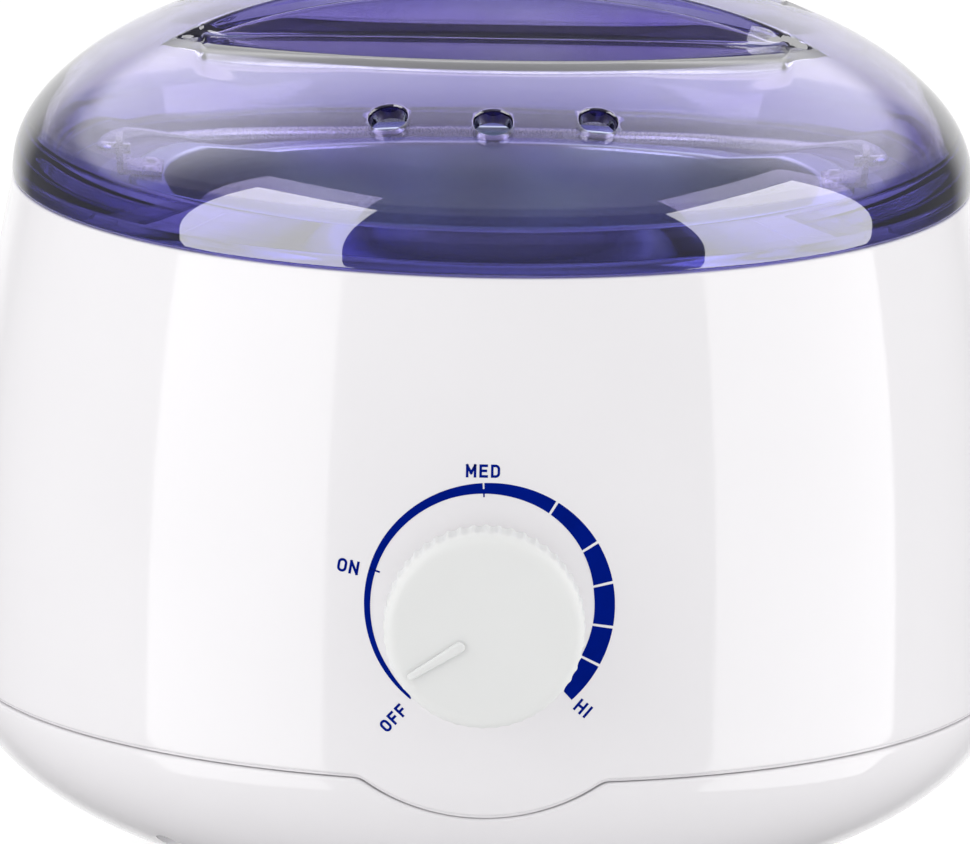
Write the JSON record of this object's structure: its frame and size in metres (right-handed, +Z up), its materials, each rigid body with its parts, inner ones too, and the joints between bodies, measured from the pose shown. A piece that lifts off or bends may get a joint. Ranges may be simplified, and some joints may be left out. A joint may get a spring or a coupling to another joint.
{
  "type": "wax warmer",
  "caption": "Round electric wax warmer with a domed lift-off lid, lift-out pot with bail, glossy barrel housing, dial thermostat and rounded base.",
  "frame": {"origin": "middle of the footprint (housing, knob and cord gland together), on the surface it stands on", "axes": "+Z up along the housing's axis, -Y to the front where the dial is, +Y to the back where the cord comes in, +X to the right as seen from the front"},
  "size_m": [0.18, 0.2048, 0.1539],
  "materials": {
    "shell": "glossy white moulding",
    "lid": "glossy translucent violet-blue moulding",
    "knob": "milky white moulding with a satin face",
    "pot": "spun and brushed",
    "aluminium": "plain, as pressed",
    "steel": "zinc plated",
    "rubber": "matt",
    "mica": "pearly laminate",
    "brass": "bright rolled",
    "ceramic": "unglazed steatite",
    "bimetal": "rolled, two faced",
    "fuse_can": "drawn can",
    "glass_sleeve": "woven sleeve with silicone coat",
    "lamp_glass": "clear bulb with neon glow colour",
    "lamp_socket": "natural nylon",
    "resistor": "lacquered",
    "block": "natural polyamide",
    "lead_brown": "silicone insulation",
    "lead_blue": "silicone insulation",
    "lead_thin": "sleeved lamp wire"
  },
  "bodies": {
    "housing": {"base": "shell", "foot_1": "rubber", "foot_2": "rubber", "foot_3": "rubber", "foot_4": "rubber", "housing_screws": "steel", "upper_housing": "shell", "heater_bowl": "aluminium", "bowl_washers": "steel", "bowl_nuts": "steel", "mica_heater": "mica", "heater_tabs": "brass", "clamp_band": "steel", "clamp_screw": "steel", "clamp_nut": "steel", "shield_spacer": "aluminium", "heat_shield": "aluminium", "shield_nut": "steel", "thermal_fuse": "fuse_can", "fuse_sleeve": "glass_sleeve", "fuse_clip": "steel", "fuse_nut": "steel", "thermostat_bracket": "steel", "bracket_screws": "steel", "stack_insulators": "ceramic", "stack_rivet": "steel", "bimetal_strip": "bimetal", "push_pin": "ceramic", "lower_blade": "brass", "upper_blade": "brass", "spindle_bush": "brass", "bush_nut": "steel", "neon_lamp": "lamp_glass", "lamp_holder": "lamp_socket", "lamp_resistor": "resistor", "terminal_block": "block", "terminal_screws": "brass", "block_screw": "steel", "cord_gland": "rubber", "wire_inlet_fuse": "lead_brown", "wire_fuse_switch": "lead_brown", "wire_switch_heater": "lead_brown", "wire_heater_return": "lead_blue", "wire_lamp_resistor": "lead_thin", "wire_resistor_switch": "lead_thin", "wire_lamp_return": "lead_thin"},
    "dial": {"knob": "knob", "knob_clip": "steel", "spindle": "aluminium"},
    "pot": {"pot": "pot", "ear_left": "steel", "ear_right": "steel", "ear_rivets": "aluminium"},
    "bail": {"bail": "steel"},
    "lid": {"lid": "lid"}
  },
  "joints": [
    {"name": "dial_turn", "type": "hinge", "parent": "housing", "child": "dial", "pos_m": [0, -0.07959, 0.062], "axis": [0, 1, 0], "range_deg": [-18, 260]},
    {"name": "pot_lift", "type": "slide", "parent": "housing", "child": "pot", "axis": [0, 0, 1], "range_m": [0, 0.075]},
    {"name": "lid_lift", "type": "slide", "parent": "pot", "child": "lid", "axis": [0, 0, 1], "range_m": [0, 0.12]},
    {"name": "bail_swing", "type": "hinge", "parent": "pot", "child": "bail", "pos_m": [0, 0.00979, 0.1192], "axis": [1, 0, 0], "range_deg": [0, 95]}
  ],
  "couplings": [
    {"joint": "bail_swing", "follows": "lid_lift", "rad_per_m": 13.672}
  ]
}
